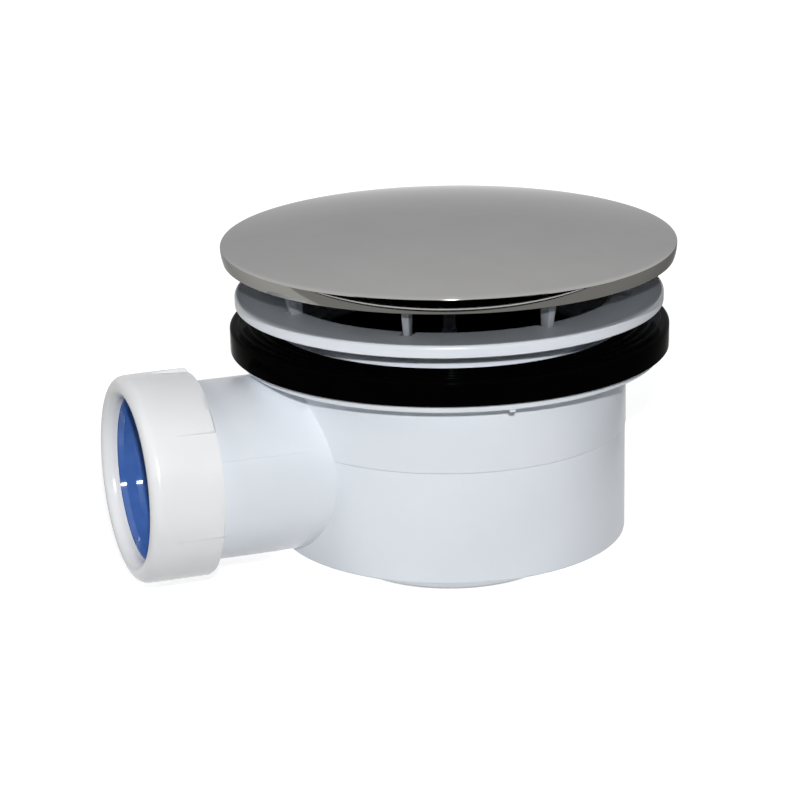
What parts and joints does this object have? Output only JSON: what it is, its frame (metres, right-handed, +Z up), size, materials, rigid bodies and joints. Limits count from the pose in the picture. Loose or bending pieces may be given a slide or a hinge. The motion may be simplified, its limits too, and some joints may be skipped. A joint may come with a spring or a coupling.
{
  "type": "shower trap",
  "caption": "Shower trap with a chromed domed cover on legs, a clamping flange, a ribbed tray seal, a removable dip tube and a side outlet with a compression nut.",
  "frame": {"origin": "centre of the foot's flat underside, on the trap's axis", "axes": "+Z up along the trap's axis, -X out along the outlet"},
  "size_m": [0.1452, 0.116, 0.0898],
  "materials": {
    "white_plastic": "gloss",
    "nut_plastic": "gloss",
    "black_rubber": "satin",
    "blue_rubber": "gloss",
    "chrome": "polished"
  },
  "bodies": {
    "root": {"trap_body": "white_plastic", "body_collar": "white_plastic", "outlet_spigot": "white_plastic", "trap_cup": "white_plastic", "tray_seal": "black_rubber", "top_flange": "white_plastic", "flange_sleeve": "white_plastic", "dip_tube": "white_plastic", "lift_bar": "white_plastic", "dip_ring": "black_rubber", "cover_dome": "chrome", "cover_carrier": "white_plastic", "outlet_nut": "nut_plastic", "outlet_seal": "blue_rubber"}
  },
  "joints": []
}
